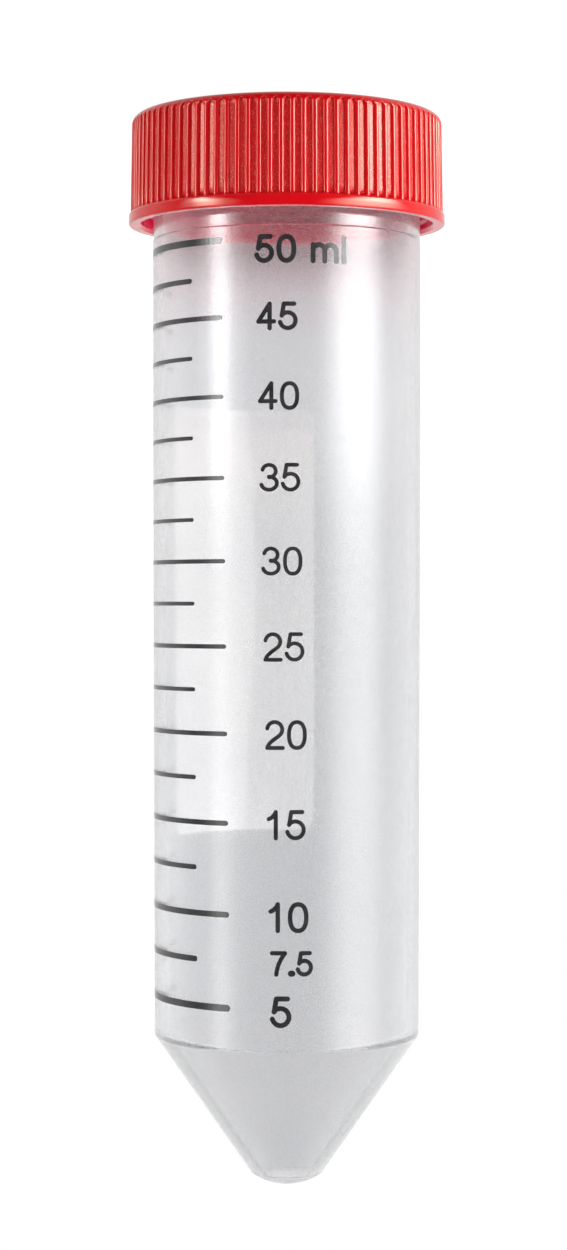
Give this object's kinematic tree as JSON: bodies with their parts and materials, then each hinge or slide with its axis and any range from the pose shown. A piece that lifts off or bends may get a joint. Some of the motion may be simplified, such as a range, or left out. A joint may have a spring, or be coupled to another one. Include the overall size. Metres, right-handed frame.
{
  "type": "50 ml conical centrifuge tube",
  "caption": "Translucent straight tube with a conical end, closed by a flat-topped screw cap with a fluted grip and a plug seal.",
  "frame": {"origin": "centre of the cap's flat top, on which the tube stands", "axes": "+Z along the tube's axis, from the cap to the tip of the cone; the figures of the scale face -Y"},
  "size_m": [0.0342, 0.0342, 0.1157],
  "materials": {
    "cap_plastic": "satin red, finely grained between the ribs",
    "tube_plastic": "glossy, milky translucent"
  },
  "bodies": {
    "cap": {"cap": "cap_plastic"},
    "tube": {"tube": "tube_plastic"}
  },
  "joints": [
    {"name": "tube_lift", "type": "slide", "parent": "cap", "child": "tube", "axis": [0, 0, 1], "range_m": [0, 0.03]}
  ]
}
